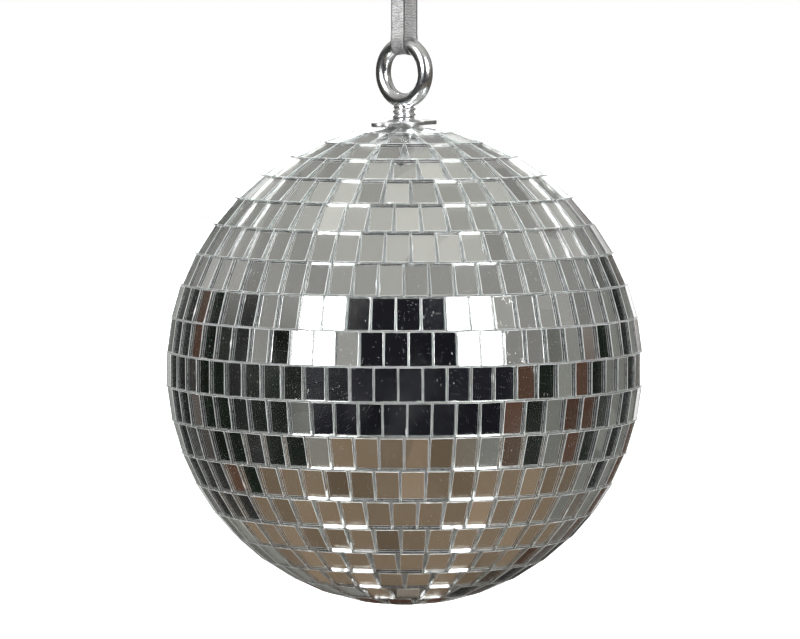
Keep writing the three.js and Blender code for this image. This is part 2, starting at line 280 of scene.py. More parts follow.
def make_floor():
    """A plain pale floor far below. Only the camera sees it, so that the mirrors show the room."""
    half = 60.0
    drop = 4.0
    mesh = bpy.data.meshes.new("floor")
    corners = [(-half, -half, -drop), (half, -half, -drop), (half, half, -drop), (-half, half, -drop)]
    mesh.from_pydata(corners, [], [(0, 1, 2, 3)])
    floor = bpy.data.objects.new("floor", mesh)
    scene.collection.objects.link(floor)
    material = bpy.data.materials.new("pale_floor")
    material.use_nodes = True
    shader = material.node_tree.nodes["Principled BSDF"]
    shader.inputs["Base Color"].default_value = (0.9, 0.9, 0.9, 1)
    shader.inputs["Emission Color"].default_value = (1, 1, 1, 1)
    shader.inputs["Emission Strength"].default_value = 1.0
    mesh.materials.append(material)
    floor.visible_diffuse = False
    floor.visible_glossy = False
    floor.visible_transmission = False
    floor.visible_shadow = False


# ---------- Materials ----------

def new_material(name, **uniform):
    """A material with one Principled shader, its uniform values set on its own sockets."""
    material = bpy.data.materials.new(name)
    material.use_nodes = True
    shader = material.node_tree.nodes["Principled BSDF"]
    nodes = Nodes(material.node_tree)
    for label, value in uniform.items():
        nodes.feed(shader.inputs[label.replace("_", " ")], value)
    place = nodes.add("ShaderNodeTexCoord").outputs["Object"]
    return material, nodes, shader.inputs, place


def tile_glass():
    """Clear front of a tile, with a trace of haze, specks of dust and fine scratches."""
    material, nodes, shader, place = new_material(
        "tile_glass", IOR=1.52, Transmission_Weight=1.0, Roughness=0.0, Base_Color=(0.985, 0.995, 0.99)
    )
    haze = nodes.remap(nodes.noise(place, 38, 3), 0.5, 0.8, 0.0, 0.025)
    specks = nodes.remap(nodes.noise(place, 2600, 1), 0.755, 0.79, 0.0, 0.6)
    one_way = nodes.noise(nodes.stretched(place, (2600, 900, 120), (0.5, 0.3, 0.7)), 1, 1)
    other_way = nodes.noise(nodes.stretched(place, (900, 2600, 120), (-0.6, 0.4, 0.2)), 1, 1)
    lines = nodes.remap(nodes.maths("MAXIMUM", one_way, other_way), 0.76, 0.8, 0.0, 0.28)
    worn_area = nodes.remap(nodes.noise(place, 60, 2), 0.52, 0.66, 0.0, 1.0)
    marks = nodes.maths("MAXIMUM", specks, nodes.maths("MULTIPLY", lines, worn_area))
    cover = nodes.maths("ADD", haze, marks, clamp=True)
    nodes.feed(shader["Transmission Weight"], nodes.maths("SUBTRACT", 1, cover))
    nodes.feed(shader["Base Color"], nodes.mix(cover, linear(252, 254, 253), linear(214, 218, 220)))
    nodes.feed(shader["Roughness"], nodes.remap(marks, 0, 0.5, 0.0, 0.4))
    return material


def tile_edge():
    """Cut side of the glass: fairly clear, with a trace of green and a slight ripple where it snapped."""
    material, nodes, shader, place = new_material("tile_edge", IOR=1.52, Transmission_Weight=0.9)
    ripple = nodes.noise(place, 700, 2)
    nodes.feed(shader["Base Color"], nodes.mix(ripple, linear(234, 241, 240), linear(251, 253, 253)))
    nodes.feed(shader["Roughness"], nodes.remap(ripple, 0.3, 0.7, 0.1, 0.2))
    nodes.feed(shader["Normal"], nodes.bump(ripple, 0.3, 0.05 * MM))
    return material


def tile_rim():
    """Chipped rims of the glass, front and back, where the cutter ran: white frost with clear gaps."""
    material, nodes, shader, place = new_material("tile_rim", IOR=1.52, Roughness=0.35)
    clear = nodes.remap(nodes.noise(place, 800, 2), 0.52, 0.64)
    nodes.feed(shader["Transmission Weight"], nodes.remap(clear, 0, 1, 0.12, 0.8))
    frost = nodes.noise(place, 2400, 2)
    nodes.feed(shader["Base Color"], nodes.mix(frost, linear(226, 231, 231), linear(254, 255, 255)))
    nodes.feed(shader["Normal"], nodes.bump(nodes.noise(place, 2600, 2), 0.5, 0.06 * MM))
    return material


def tile_silver():
    """Silvering on the back of the glass: thin crossed wiping marks, and a little tarnish in worn places."""
    material, nodes, shader, place = new_material("tile_silver", Metallic=1.0, Roughness=0.0)
    tarnish = nodes.remap(nodes.noise(place, 320, 4, 0.6), 0.68, 0.82, 0.0, 0.5)
    nodes.feed(shader["Base Color"], nodes.mix(tarnish, linear(247, 248, 247), linear(196, 190, 178)))
    wiped = nodes.noise(nodes.stretched(place, (2400, 2400, 300), (0.2, 0.9, 0.3)), 1, 1)
    across = nodes.noise(nodes.stretched(place, (2400, 2400, 300), (0.3, -0.9, 0.2)), 1, 1)
    lines = nodes.remap(nodes.maths("MAXIMUM", wiped, across), 0.7, 0.76)
    where = nodes.remap(nodes.noise(place, 85, 2), 0.5, 0.62)
    marks = nodes.maths("MULTIPLY", lines, where)
    nodes.feed(shader["Roughness"], nodes.maths("ADD", nodes.remap(tarnish, 0, 0.5, 0.0, 0.12),
                                                nodes.maths("MULTIPLY", marks, 0.3)))
    return material


def glue():
    """Pale adhesive that the tiles are bedded in, grey with dust in places."""
    material, nodes, shader, place = new_material("glue_bed", Roughness=0.35, IOR=1.46)
    lumps = nodes.noise(place, 420, 4, 0.6)
    dirt = nodes.remap(nodes.noise(place, 90, 3), 0.4, 0.7)
    clean = nodes.mix(lumps, linear(236, 240, 241), linear(250, 251, 251))
    nodes.feed(shader["Base Color"], nodes.mix(dirt, clean, linear(206, 210, 211)))
    nodes.feed(shader["Roughness"], nodes.remap(lumps, 0.3, 0.7, 0.25, 0.6))
    nodes.feed(shader["Normal"], nodes.bump(lumps, 0.5, 0.3 * MM))
    return material


def moulded_plastic():
    """Pale moulded shell with a faint grain and flow marks."""
    material, nodes, shader, place = new_material("moulded_core", Roughness=0.5, IOR=1.49)
    grain = nodes.noise(place, 2400, 3, 0.6)
    flow = nodes.noise(nodes.stretched(place, (14, 14, 60)), 1, 4, distortion=0.8)
    nodes.feed(shader["Base Color"], nodes.mix(flow, linear(204, 205, 201), linear(226, 226, 222)))
    nodes.feed(shader["Roughness"], nodes.remap(grain, 0.3, 0.7, 0.42, 0.6))
    nodes.feed(shader["Normal"], nodes.bump(grain, 0.25, 0.05 * MM))
    return material


def chrome(name, shade, sharpest, dullest):
    """Plating of a shade, between two roughnesses, with faint polishing lines and tiny pits."""
    material, nodes, shader, place = new_material(name, Metallic=1.0)
    cloud = nodes.noise(place, 160, 4, 0.6)
    lines = nodes.noise(nodes.stretched(place, (500, 500, 5000)), 1, 2)
    pits = nodes.remap(nodes.noise(place, 1500, 2), 0.7, 0.78)
    nodes.feed(shader["Base Color"], nodes.mix(pits, linear(*shade), linear(165, 163, 160)))
    shine = nodes.remap(nodes.maths("MULTIPLY", cloud, lines), 0.1, 0.45, sharpest, dullest)
    nodes.feed(shader["Roughness"], nodes.maths("ADD", shine, nodes.maths("MULTIPLY", pits, 0.2)))
    nodes.feed(shader["Normal"], nodes.bump(lines, 0.06, 0.03 * MM))
    return material


def zinc():
    """Bright zinc plate on steel: softer shine, cloudy, with duller patches."""
    material, nodes, shader, place = new_material("zinc_steel", Metallic=1.0)
    spangle = nodes.cells(place, 900)
    cloud = nodes.noise(place, 130, 4, 0.6)
    tint = nodes.mix(cloud, linear(168, 172, 176), linear(208, 209, 207))
    nodes.feed(shader["Base Color"], nodes.mix(0.12, tint, spangle))
    nodes.feed(shader["Roughness"], nodes.remap(cloud, 0.3, 0.7, 0.22, 0.42))
    nodes.feed(shader["Normal"], nodes.bump(nodes.noise(place, 1800, 2), 0.12, 0.04 * MM))
    return material


RIB_ATTRIBUTE = "rib"


def ribbon_metallic():
    """Open knit of metallic yarn: bright flecks along each rib, which let light through, and painted shade in
    the grooves between the ribs.
    """
    material, nodes, shader, place = new_material(
        "metallic_ribbon", Metallic=0.1, IOR=1.05, Roughness=0.3, Subsurface_Weight=0.8,
        Subsurface_Scale=1.5 * MM, Subsurface_Radius=(1.0, 1.0, 1.0)
    )
    rib = nodes.add("ShaderNodeAttribute", attribute_name=RIB_ATTRIBUTE).outputs["Fac"]
    level = nodes.average(nodes.cells(nodes.stretched(place, (2400, 2400, 3400)), 1))
    broken = nodes.remap(nodes.noise(nodes.stretched(place, (1300, 1300, 2200)), 1, 2, 0.6), 0.36, 0.52)
    # Painted shade: the grooves between the ribs are darkened in the base colour, broken up in places.
    groove_painted_shade = nodes.maths("MULTIPLY", nodes.remap(rib, 0.2, 0.65, 1, 0, smooth=True), broken)
    shade = nodes.mix(nodes.remap(level, 0.15, 0.7), linear(226, 227, 228), linear(254, 254, 253))
    nodes.feed(shader["Base Color"], nodes.mix(groove_painted_shade, shade, linear(20, 20, 22)))
    open_flecks = nodes.remap(level, 0.35, 0.65, 0.1, 0.9)
    holes = nodes.maths("MULTIPLY", open_flecks, nodes.maths("SUBTRACT", 1, groove_painted_shade))
    nodes.feed(shader["Transmission Weight"], holes)
    nodes.feed(shader["Normal"], nodes.bump(nodes.noise(place, 2200, 2), 0.8, 0.2 * MM))
    return material


def ribbon_edge():
    """Dark grey selvedge thread along the ribbon's sides."""
    material, nodes, shader, place = new_material("ribbon_edge", Metallic=0.4, Roughness=0.5)
    yarn = nodes.noise(place, 3200, 3, 0.7)
    light = nodes.remap(yarn, 0.4, 0.65)
    nodes.feed(shader["Base Color"], nodes.mix(light, linear(44, 45, 48), linear(138, 139, 141)))
    nodes.feed(shader["Normal"], nodes.bump(yarn, 0.5, 0.1 * MM))
    return material


# ---------- Mesh helpers ----------

def piece_from(name, vertices, faces, materials, face_material=None, smooth=False):
    mesh = bpy.data.meshes.new(name)
    mesh.from_pydata(vertices, [], faces)
    for material in materials:
        mesh.materials.append(material)
    if face_material:
        mesh.polygons.foreach_set("material_index", face_material)
    if smooth:
        mesh.shade_smooth()
    mesh.validate()
    piece = bpy.data.objects.new(name, mesh)
    scene.collection.objects.link(piece)
    return piece


def finish_piece(piece, body, slot, *nodes):
    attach(piece, body)
    if nodes:
        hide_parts(*nodes)
    return piece


def ring_faces(loops, per_loop, closed=False):
    """Quads between following loops of points, each loop closed on itself."""
    pairs = [(i, i + 1) for i in range(loops - 1)]
    if closed:
        pairs.append((loops - 1, 0))
    faces = []
    for a, b in pairs:
        for j in range(per_loop):
            k = (j + 1) % per_loop
            faces.append((a * per_loop + j, a * per_loop + k, b * per_loop + k, b * per_loop + j))
    return faces


def outwards(latitude, azimuth):
    """The way out from the ball's centre."""
    level = math.cos(latitude)
    return Vector((level * math.cos(azimuth), level * math.sin(azimuth), math.sin(latitude)))


def turned(profile, segments):
    """Points of a profile of radii and heights, turned round the Z axis."""
    turns = [math.tau * j / segments for j in range(segments)]
    return [Vector((r * math.cos(a), r * math.sin(a), z)) for r, z in profile for a in turns]


def smooth_by_angle(piece, degrees):
    """Smooth shading, with a crease kept where two faces meet at more than this angle."""
    mesh = piece.data
    mesh.shade_smooth()
    mesh.set_sharp_from_angle(angle=math.radians(degrees))


# ---------- Tiles ----------

TILE_WIDTH = 9.42 * MM
TILE_HEIGHT = 13.72 * MM
TILE_THICKNESS = 2.0 * MM
JOINT = 0.34 * MM
TILE_BEVEL = 0.13 * MM
BACK_RIM = 0.28 * MM
EDGE_WAVE = 0.035 * MM
SIDE_STEPS = 6
CHIP_CHANCE = 0.3
TILT = math.radians(0.22)
TWIST = math.radians(0.42)
RIPPLE = 0.06 * MM


class TileSheet:
    """Collects the points and faces of many separate glass slabs for one mesh."""

    FRONT, EDGE, BACK, RIM = 0, 1, 2, 3

    def __init__(self):
        self.vertices = []
        self.faces = []
        self.slots = []

    def add_slab(self, outline, inwards, bevels, place):
        """outline is the cut edge seen from the front, inwards the way into the glass at each of its points,
        and bevels how far the front face is set in there. place turns the slab's axes into the frame's."""
        start = len(self.vertices)
        count = len(outline)
        front = [p + n * b for p, n, b in zip(outline, inwards, bevels)]
        loops = [
            [Vector((p.x, p.y, 0)) for p in front],
            [Vector((p.x, p.y, -0.9 * b)) for p, b in zip(outline, bevels)],
            [Vector((p.x, p.y, 0)) + self.ripple(p, -0.55 * TILE_THICKNESS) for p in outline],
            [Vector((p.x, p.y, BACK_RIM - TILE_THICKNESS)) for p in outline],
            [Vector((p.x, p.y, -TILE_THICKNESS)) for p in outline],
        ]
        bands = [self.RIM, self.EDGE, self.EDGE, self.RIM]
        self.vertices += [place @ v for loop in loops for v in loop]
        self.faces.append(tuple(range(start, start + count)))
        self.slots.append(self.FRONT)
        for a, b, c, d in ring_faces(len(loops), count):
            self.faces.append((start + d, start + c, start + b, start + a))
            self.slots.append(bands[a // count])
        last = start + (len(loops) - 1) * count
        self.faces.append(tuple(range(last + count - 1, last - 1, -1)))
        self.slots.append(self.BACK)

    @staticmethod
    def ripple(point, depth):
        wave = noise.noise(Vector((point.x, point.y, depth)) * 900)
        return Vector((math.copysign(RIPPLE, point.x) * wave, 0, depth))

    def piece(self, name, materials):
        return piece_from(name, self.vertices, self.faces, materials, self.slots)


def tile_outline(top_width, bottom_width, height, chance):
    """A hand-cut tile, anticlockwise from its lower left corner, with its inward normals and its bevels."""
    corners = [
        Vector((-bottom_width / 2, -height / 2)),
        Vector((bottom_width / 2, -height / 2)),
        Vector((top_width / 2, height / 2)),
        Vector((-top_width / 2, height / 2)),
    ]
    points, inwards, bevels = [], [], []
    for i, corner in enumerate(corners):
        along = corners[(i + 1) % 4] - corner
        inward = Vector((-along.y, along.x)).normalized()
        before = (corner - corners[i - 1]).normalized()
        into_corner = (inward + Vector((-before.y, before.x))).normalized()
        points.append(corner + into_corner * chance.uniform(0.02, 0.1) * MM)
        inwards.append(into_corner)
        bevels.append(TILE_BEVEL * 1.4)
        for step in range(1, SIDE_STEPS):
            share = (step + chance.uniform(-0.3, 0.3)) / SIDE_STEPS
            points.append(corner + along * share + inward * chance.uniform(0, EDGE_WAVE))
            inwards.append(inward)
            bevels.append(TILE_BEVEL * chance.uniform(0.7, 1.3))
    if chance.random() < CHIP_CHANCE:
        chip = chance.randrange(len(points))
        bevels[chip] = chance.uniform(0.3, 0.6) * MM
    return points, inwards, bevels


def small_tilt(chance):
    """How far one tile leans, held to twice the usual error."""
    return max(-2 * TILT, min(2 * TILT, chance.gauss(0, TILT)))


def row_tiles(number, node, materials):
    """All the tiles of one row. Where the row is too tight for whole tiles, they are cut to wedges."""
    chance = random.Random(100 + number)
    latitude = math.pi / 2 - number * ROW_ANGLE
    joints = joint_azimuths(node)
    count = len(joints)
    back = FACE_DISTANCE - TILE_THICKNESS

    def width_at(side):
        radius = back * math.cos(latitude) - side * TILE_HEIGHT / 2 * math.sin(latitude)
        return min(TILE_WIDTH, 2 * radius * math.tan(math.pi / count) - JOINT)

    sheet = TileSheet()
    for k in range(count):
        azimuth = joints[0] + (k + 0.5) * math.tau / count
        out = outwards(latitude, azimuth)
        east = Vector((-math.sin(azimuth), math.cos(azimuth), 0))
        north = out.cross(east)
        trim = chance.uniform(-0.05, 0.05) * MM
        outline, inwards, bevels = tile_outline(
            width_at(1) + trim, width_at(-1) + trim, TILE_HEIGHT + chance.uniform(-0.07, 0.05) * MM, chance
        )
        turn = (
            Matrix.Rotation(chance.gauss(0, TWIST), 4, "Z")
            @ Matrix.Rotation(small_tilt(chance), 4, "X")
            @ Matrix.Rotation(small_tilt(chance), 4, "Y")
        )
        axes = Matrix((east, north, out)).transposed().to_4x4()
        seat = FACE_DISTANCE + chance.uniform(-0.05, 0.03) * MM
        place = Matrix.Translation(BALL_CENTRE + out * seat) @ axes @ turn
        sheet.add_slab(outline, inwards, bevels, place)
    piece = sheet.piece(f"mirror_tiles_{number:02d}", materials)
    return finish_piece(piece, "ball", "mirror_tiles", node)


def polar_mirror(materials):
    """Round mirror over the hole in the bottom row."""
    node = "bottom_polar_mirror"
    low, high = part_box(node)
    radius = high.x
    chance = random.Random(7)
    steps = 48
    outline, inwards = [], []
    for i in range(steps):
        angle = math.tau * i / steps
        inward = Vector((-math.cos(angle), -math.sin(angle)))
        outline.append(inward * -(radius - chance.uniform(0, 2 * EDGE_WAVE)))
        inwards.append(inward)
    bevels = [TILE_BEVEL * chance.uniform(0.7, 1.3) for _ in outline]
    place = Matrix.Translation((0, 0, low.z)) @ Matrix.Rotation(math.pi, 4, "X")
    sheet = TileSheet()
    sheet.add_slab(outline, inwards, bevels, place)
    return finish_piece(sheet.piece("bottom_mirror", materials), "ball", "mirror_tiles", node)


# ---------- Glue bed ----------

GLUE_INNER = 97.08 * MM
GLUE_OUTER = 97.5 * MM
GLUE_HOLE = 6.9 * MM
GLUE_LOWEST = -math.radians(85.5)
GLUE_AROUND = 200
GLUE_ALONG = 96


def glue_bed(material):
    """Thin lumpy shell between the core and the backs of the tiles, open at both poles."""
    highest = math.acos(GLUE_HOLE / GLUE_INNER)
    latitudes = [highest + (GLUE_LOWEST - highest) * i / GLUE_ALONG for i in range(GLUE_ALONG + 1)]
    profile = [(GLUE_OUTER, latitude, True) for latitude in latitudes]
    profile += [(GLUE_INNER, latitude, False) for latitude in reversed(latitudes)]
    vertices = []
    for radius, latitude, lumpy in profile:
        for j in range(GLUE_AROUND):
            out = outwards(latitude, math.tau * j / GLUE_AROUND)
            lump = noise.fractal(out * 45, 0.6, 2.0, 3) * 0.12 * MM if lumpy else 0
            vertices.append(BALL_CENTRE + out * (radius + lump))
    faces = ring_faces(len(profile), GLUE_AROUND, closed=True)
    faces = [face[::-1] for face in faces]
    piece = piece_from("glue_bed", vertices, faces, [material], smooth=True)
    return finish_piece(piece, "ball", "moulded_core")


# ---------- Metal fittings ----------

def recalculate(piece):
    """Turn all the faces of a piece outwards."""
    bm = bmesh.new()
    bm.from_mesh(piece.data)
    bmesh.ops.recalc_face_normals(bm, faces=bm.faces)
    bm.to_mesh(piece.data)
    bm.free()


def tube(name, points, radii, around):
    """A round bar along points in the XZ plane, with a radius for each."""
    count = len(points)
    vertices = []
    for i, point in enumerate(points):
        ahead = points[min(i + 1, count - 1)] - points[max(i - 1, 0)]
        tangent = ahead.normalized()
        side = Vector((0, 1, 0))
        up = tangent.cross(side).normalized()
        for j in range(around):
            angle = math.tau * j / around
            vertices.append(point + (side * math.cos(angle) + up * math.sin(angle)) * radii[i])
    faces = ring_faces(count, around)
    faces.append(tuple(range(around)))
    faces.append(tuple(range((count - 1) * around, count * around)))
    piece = piece_from(name, vertices, faces, [])
    recalculate(piece)
    return piece


def threaded_rod(name, low, high, root, crest, pitch, crest_at, section=None, around=48, per_turn=14):
    """A rod with a real right-hand helical thread. The ridge crosses the +X side at height crest_at, and
    section gives, for a height, the share of the root's radius and of the ridge that is left there."""
    steps = max(2, int((high - low) / pitch * per_turn))
    vertices = []
    for i in range(steps + 1):
        z = low + (high - low) * i / steps
        body, ridge = section(z) if section else (1.0, 1.0)
        for j in range(around):
            turn = j / around
            wave = 0.5 + 0.5 * math.cos(math.tau * ((z - crest_at) / pitch - turn))
            radius = root * body + (crest - root) * ridge * wave
            angle = math.tau * turn
            vertices.append(Vector((radius * math.cos(angle), radius * math.sin(angle), z)))
    faces = ring_faces(steps + 1, around)
    faces.append(tuple(range(around)))
    faces.append(tuple(range(steps * around, (steps + 1) * around)))
    piece = piece_from(name, vertices, faces, [])
    recalculate(piece)
    return piece


def united(name, first, others, material):
    """Joins closed meshes into one closed mesh."""
    for other in others:
        modifier = first.modifiers.new("join", "BOOLEAN")
        modifier.operation = "UNION"
        modifier.solver = "EXACT"
        modifier.object = other
    mesh = bpy.data.meshes.new_from_object(first.evaluated_get(bpy.context.evaluated_depsgraph_get()))
    for old in [first, *others]:
        bpy.data.objects.remove(old)
    mesh.name = name
    mesh.materials.clear()
    mesh.materials.append(material)
    piece = bpy.data.objects.new(name, mesh)
    scene.collection.objects.link(piece)
    return piece


THREAD_ROOT = 4.2 * MM
THREAD_CREST = 4.88 * MM
THREAD_PITCH = 2.3 * MM
THREAD_LEAD_IN = 1.2 * MM
THREAD_CREST_AT = BALL_CENTRE.z + 106.88 * MM
SHANK_TOP = RING_CENTRE_Z - RING_OUTER + 3.0 * MM
SHANK_DOME = 2.9 * MM


def shank_section(z):
    """Full from the nut up, then domed where the shank goes into the ring's bar."""
    lead_in = min(1, max(0, (z - RING_LOW.z) / THREAD_LEAD_IN))
    into_dome = max(0, (z - (SHANK_TOP - SHANK_DOME)) / SHANK_DOME)
    body = math.sqrt(max(0.04, 1 - into_dome ** 2))
    return body * (0.94 + 0.06 * lead_in), lead_in * max(0, 1 - 1.6 * into_dome)


def eye(material):
    """Eye bolt: a round ring whose bar lies in the domed top of a shank with a rolled thread."""
    around, along = 36, 128
    vertices = []
    for i in range(along):
        turn = math.tau * i / along
        for j in range(around):
            angle = math.tau * j / around
            radius = RING_RADIUS + RING_BAR * math.cos(angle)
            vertices.append(Vector((radius * math.cos(turn), RING_BAR * math.sin(angle),
                                    RING_CENTRE_Z + radius * math.sin(turn))))
    ring = piece_from("ring", vertices, ring_faces(along, around, closed=True), [])
    recalculate(ring)
    rod = threaded_rod("rod", RING_LOW.z, SHANK_TOP, THREAD_ROOT, THREAD_CREST, THREAD_PITCH, THREAD_CREST_AT,
                       shank_section)
    piece = united("eye", ring, [rod], material)
    smooth_by_angle(piece, 50)
    return finish_piece(piece, "ball", "chrome", "eye_bolt")


SHANK_HOLE = 5.25 * MM
STRAP_EAR_WIDTH = 9.6 * MM
STRAP_HOLE = 1.6 * MM
STRAP_HOLE_AT = 13.5 * MM
STRAP_EDGE = 0.3 * MM
HUB_RISE = 0.85 * MM
STRAP_LEAN = math.radians(2.0)


def arc_points(centre_y, radius, start, end, steps):
    """Points on a level arc round (0, centre_y), from one angle to another in degrees."""
    points = []
    for i in range(steps + 1):
        angle = math.radians(start + (end - start) * i / steps)
        points.append(Vector((radius * math.cos(angle), centre_y + radius * math.sin(angle), 0)))
    return points


def strap_outline(length, ear_width, hub_radius):
    """A round hub with an ear each way along Y, half round at its end."""
    end = ear_width / 2
    straight = length / 2 - end
    neck = math.degrees(math.acos(end / hub_radius))
    points = arc_points(straight, end, 0, 180, 20)
    points += arc_points(0, hub_radius, 180 - neck, 180 + neck, 20)
    points += arc_points(-straight, end, 180, 360, 20)
    points += arc_points(0, hub_radius, -neck, neck, 20)
    return points


def strap(material):
    """Pressed plate with rounded edges, a raised hub round the shank, and a hole in each ear for a safety
    line. It sits a little askew, lower at its near side."""
    node = "hanger_strap"
    low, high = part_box(node)
    curve = bpy.data.curves.new("strap_outline", "CURVE")
    curve.dimensions = "2D"
    curve.fill_mode = "BOTH"
    loops = [strap_outline(high.y - low.y, STRAP_EAR_WIDTH, high.x)]
    for y, radius in ((0, SHANK_HOLE), (STRAP_HOLE_AT, STRAP_HOLE), (-STRAP_HOLE_AT, STRAP_HOLE)):
        loops.append(arc_points(y, radius, 0, 360, 40)[:-1])
    for loop in loops:
        spline = curve.splines.new("POLY")
        spline.points.add(len(loop) - 1)
        for point, target in zip(spline.points, loop):
            point.co = (target.x, target.y, 0, 1)
        spline.use_cyclic_u = True
    curve.extrude = (high.z - low.z) / 2 - STRAP_EDGE
    curve.bevel_depth = STRAP_EDGE
    curve.bevel_resolution = 3
    curve.offset = -STRAP_EDGE
    holder = bpy.data.objects.new("strap_curve", curve)
    scene.collection.objects.link(holder)
    holder.location.z = (low.z + high.z) / 2
    bpy.context.view_layer.update()
    mesh = bpy.data.meshes.new_from_object(holder.evaluated_get(bpy.context.evaluated_depsgraph_get()))
    mesh.transform(holder.matrix_world)
    bpy.data.objects.remove(holder)
    plate = bpy.data.objects.new("plate", mesh)
    scene.collection.objects.link(plate)
    weld(plate, 1e-6)
    hub = hub_dome(high.x - 0.35 * MM, low.z + 0.5 * MM, high.z)
    piece = united("strap", plate, [hub], material)
    middle = Vector((0, 0, (low.z + high.z) / 2))
    lean = Matrix.Rotation(STRAP_LEAN, 4, CAMERA_RIGHT)
    piece.data.transform(Matrix.Translation(middle) @ lean @ Matrix.Translation(-middle))
    smooth_by_angle(piece, 40)
    return finish_piece(piece, "ball", "chrome", node)


def hub_dome(radius, low, high):
    """Low dome round the shank's hole, standing on the plate."""
    bore = SHANK_HOLE - 0.12 * MM
    profile = [(bore, low), (radius - 0.6 * MM, low)]
    steps = 10
    for i in range(steps + 1):
        share = i / steps
        profile.append((radius + (bore + 0.2 * MM - radius) * share,
                        high - 0.25 * MM + (HUB_RISE + 0.25 * MM) * math.sin(share * math.pi / 2)))
    profile.append((bore, high + HUB_RISE - 0.15 * MM))
    segments = 72
    piece = piece_from("hub", turned(profile, segments), ring_faces(len(profile), segments, closed=True), [])
    recalculate(piece)
    return piece


def weld(piece, distance):
    """Join the points that lie closer than the distance, and turn the faces outwards."""
    bm = bmesh.new()
    bm.from_mesh(piece.data)
    bmesh.ops.remove_doubles(bm, verts=bm.verts, dist=distance)
    bmesh.ops.recalc_face_normals(bm, faces=bm.faces)
    bm.to_mesh(piece.data)
    bm.free()


# ---------- Ceiling hook ----------

HOOK_BAR = 2.9 * MM
HOOK_BEND = 10 * MM
HOOK_TIP_ANGLE = 25
HOOK_TURN = 255
HOOK_EASE = 0.42


def hook_path():
    """Middle of the bar: from the tip, under the bend, and back over to the axis below the shoulder."""
    centre = HOOK_BAR_Z + HOOK_BEND
    points = []
    arc_steps = 64
    for i in range(arc_steps + 1):
        angle = math.radians(HOOK_TIP_ANGLE - HOOK_TURN * i / arc_steps)
        points.append(Vector((HOOK_BEND * math.cos(angle), 0, centre + HOOK_BEND * math.sin(angle))))
    start, ahead = points[-1], (points[-1] - points[-2]).normalized()
    end = Vector((0, 0, -1.3 * MM))
    reach = (end - start).length
    first = start + ahead * reach * HOOK_EASE
    second = end + Vector((0, 0, -1)) * reach * HOOK_EASE
    neck_steps = 24
    for i in range(1, neck_steps + 1):
        t = i / neck_steps
        u = 1 - t
        points.append(start * u ** 3 + first * 3 * u * u * t + second * 3 * u * t * t + end * t ** 3)
    return points


SHOULDER_THICKNESS = 2.6 * MM
SCREW_ROOT = 2.15 * MM
SCREW_CREST = 2.95 * MM
SCREW_PITCH = 2.35 * MM
SCREW_SHANK = 3.05 * MM
SCREW_SHANK_TOP = 3 * MM
SCREW_POINT = 4 * MM


def ceiling_hook(material):
    """Bent hook with a rounded tip, a round shoulder, and a wood screw above it."""
    node = "ceiling_hook"
    low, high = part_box(node)
    path = hook_path()
    tip_steps = 8
    tangent = (path[0] - path[1]).normalized()
    tip, radii = [], []
    for i in range(tip_steps):
        angle = math.pi / 2 * (tip_steps - i) / tip_steps
        tip.append(path[0] + tangent * HOOK_BAR * math.sin(angle) * 0.98)
        radii.append(max(0.03 * MM, HOOK_BAR * math.cos(angle)))
    bar = tube("bar", tip + path, radii + [HOOK_BAR] * len(path), around=32)
    shoulder = disc("shoulder", high.y, -SHOULDER_THICKNESS, 0.0, 0.6 * MM)

    def section(z):
        point = min(1, max(0.06, (high.z - z) / SCREW_POINT))
        above_shank = min(1, max(0, (z - SCREW_SHANK_TOP) / THREAD_LEAD_IN))
        body = SCREW_SHANK + (SCREW_ROOT - SCREW_SHANK) * above_shank
        return point * body / SCREW_ROOT, point * above_shank

    screw = threaded_rod("screw", -0.2 * MM, high.z, SCREW_ROOT, SCREW_CREST, SCREW_PITCH, 0, section,
                         around=36)
    piece = united("hook", bar, [shoulder, screw], material)
    smooth_by_angle(piece, 45)
    return finish_piece(piece, "hook", "zinc_steel", node)


def disc(name, radius, low, high, edge, segments=64):
    """A solid disc with rounded rims."""
    profile = []
    for middle, first in ((high - edge, 90), (low + edge, 0)):
        for degrees in range(first, first - 91, -15):
            angle = math.radians(degrees)
            profile.append((radius - edge + edge * math.cos(angle), middle + edge * math.sin(angle)))
    faces = ring_faces(len(profile), segments)
    faces.append(tuple(range(segments)))
    faces.append(tuple(range((len(profile) - 1) * segments, len(profile) * segments)))
    piece = piece_from(name, turned(profile, segments), faces, [])
    recalculate(piece)
    return piece


# ---------- Ribbon ----------

RIB_PITCH = 0.63 * MM
RIB_WAVER = 0.24 * MM
RIB_CURVE = 0.14 * MM
RIBBON_ACROSS = 22
THINNEST = 0.06 * MM
SELVEDGE_FROM = 0.86
PICOT_PITCH = 1.05 * MM
PICOT_DEPTH = 0.24 * MM
RIBBON_OVERHANG = 0.36 * MM
STRAND_INSET = 0.38 * MM
INSET_REACH = 5 * MM
PATH_POINTS = 36
RIBBON_STEP = 0.105 * MM
LAP_RISE = 0.78 * MM
LAP_UNDER_FROM = 54
LAP_RISES_FROM = 12
LAP_RISES_OVER = 40
LAP_ENDS_AT = 160
BAR_BOW = 0.42 * MM


def drawn_in(z):
    """How far in each strand stands at a height: fully between the bars, and not at all beside them."""
    share = min(1, max(0, min(HOOK_BAR_Z - z, z - RING_BAR_Z) / INSET_REACH))
    return STRAND_INSET * share * share * (3 - 2 * share)


